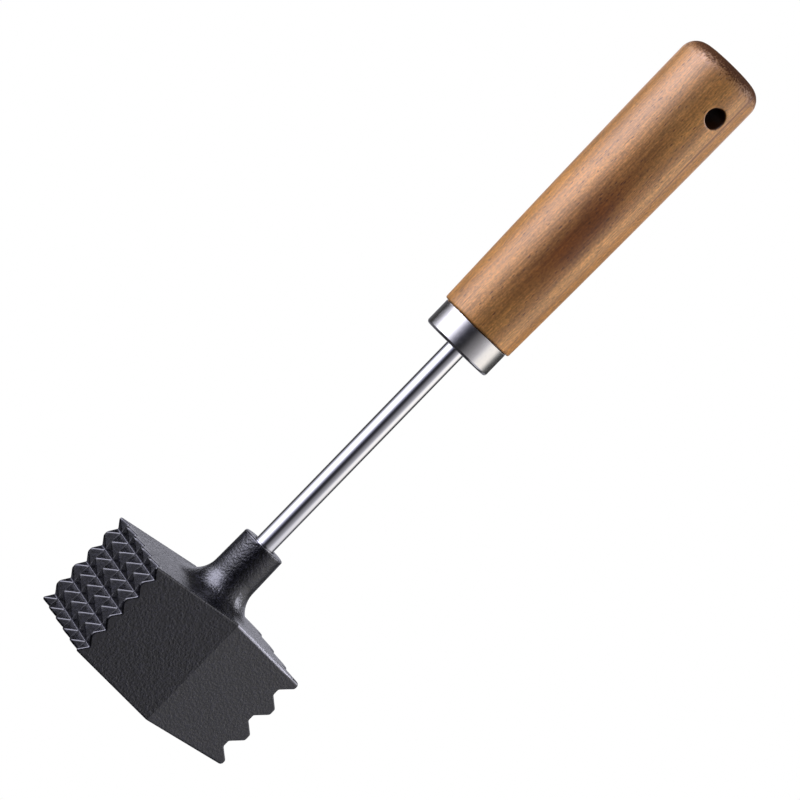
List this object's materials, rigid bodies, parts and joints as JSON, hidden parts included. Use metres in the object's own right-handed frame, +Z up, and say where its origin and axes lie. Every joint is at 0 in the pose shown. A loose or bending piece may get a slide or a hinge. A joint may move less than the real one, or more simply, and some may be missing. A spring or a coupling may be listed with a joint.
{
  "type": "meat mallet",
  "caption": "Meat mallet: black nylon head with a fine and a coarse toothed face on a steel rod, with a steel ferrule and a turned wooden handle with a hanging hole.",
  "frame": {"origin": "middle of the ridge under the head, in line with the rod", "axes": "+Z up the rod to the handle's butt, -X to the fine toothed face, +X to the coarse one, Y along the hanging hole"},
  "size_m": [0.07, 0.0414, 0.2722],
  "materials": {
    "black_nylon": "moulded, fine spark-eroded grain",
    "core_steel": "cold-drawn square bar, chamfered edges",
    "pin_steel": "rolled spring steel",
    "polished_steel": "polished stainless rod",
    "satin_steel": "satin stainless, drawn cup",
    "oiled_wood": "turned hardwood, oiled"
  },
  "bodies": {
    "root": {"head": "black_nylon", "head_core": "core_steel", "core_pin": "pin_steel", "shaft_rod": "polished_steel", "ferrule": "satin_steel", "handle": "oiled_wood"}
  },
  "joints": []
}
